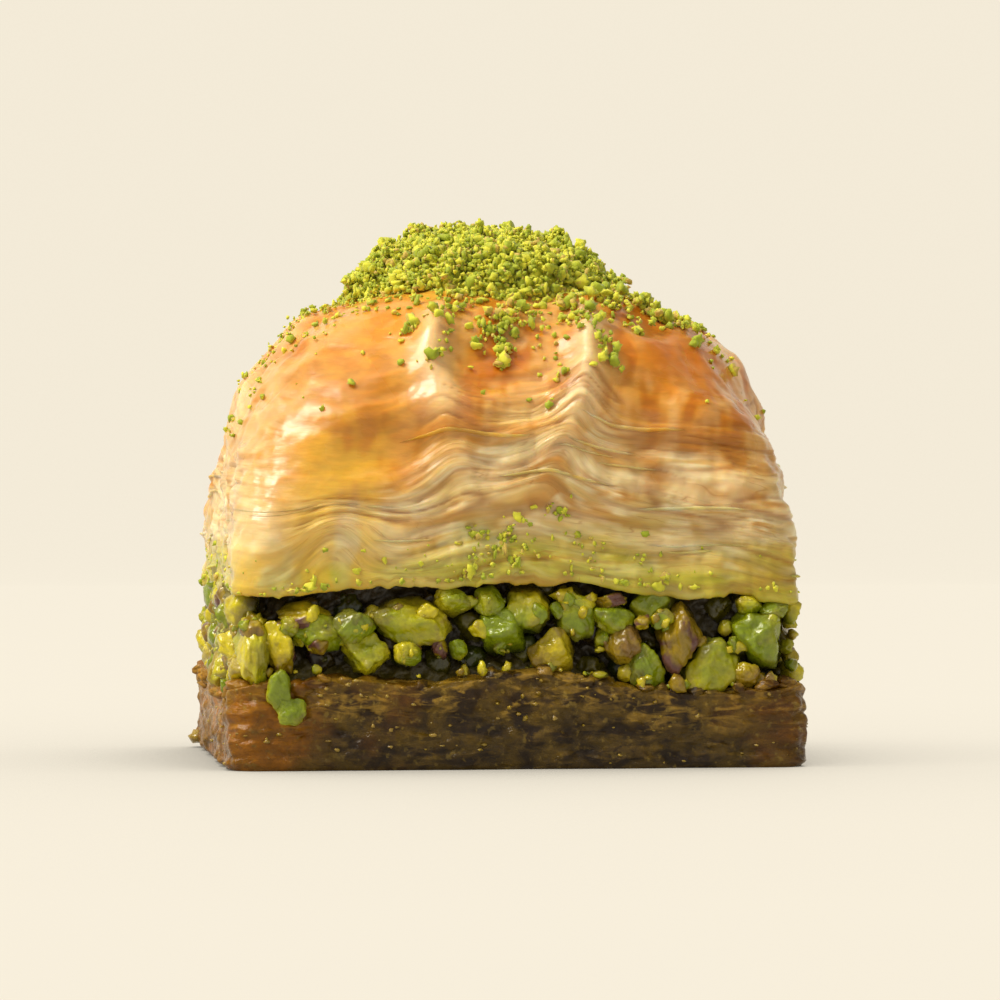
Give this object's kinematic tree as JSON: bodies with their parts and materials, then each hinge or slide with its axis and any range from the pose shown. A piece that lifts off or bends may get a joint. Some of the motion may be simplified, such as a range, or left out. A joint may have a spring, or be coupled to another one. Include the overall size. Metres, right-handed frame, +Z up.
{
  "type": "piece of pistachio baklava",
  "caption": "Cut piece of pistachio baklava: syrupy layered base, chopped pistachio filling, puffed flaky dome with a glazed crust and ground pistachio on top.",
  "frame": {"origin": "centre of the whole piece's bounding box, on the underside that rests on the table", "axes": "+Z up, +X to the right along the front cut, which is the longest extent, -Y towards the viewer of the front cut"},
  "size_m": [0.047, 0.0426, 0.0445],
  "materials": {
    "soaked_pastry": "wet and syrup-soaked, finely layered",
    "chopped_pistachio": "moist chopped kernels, green to yellow with purple-brown skin",
    "flaky_pastry": "syrup-glazed golden crust over pale, thin sheets",
    "ground_pistachio": "dry, finely ground, bright yellow-green"
  },
  "bodies": {
    "root": {"phyllo_base": "soaked_pastry", "pistachio_filling": "chopped_pistachio", "phyllo_dome": "flaky_pastry", "ground_pistachio_mound": "ground_pistachio"}
  },
  "joints": []
}
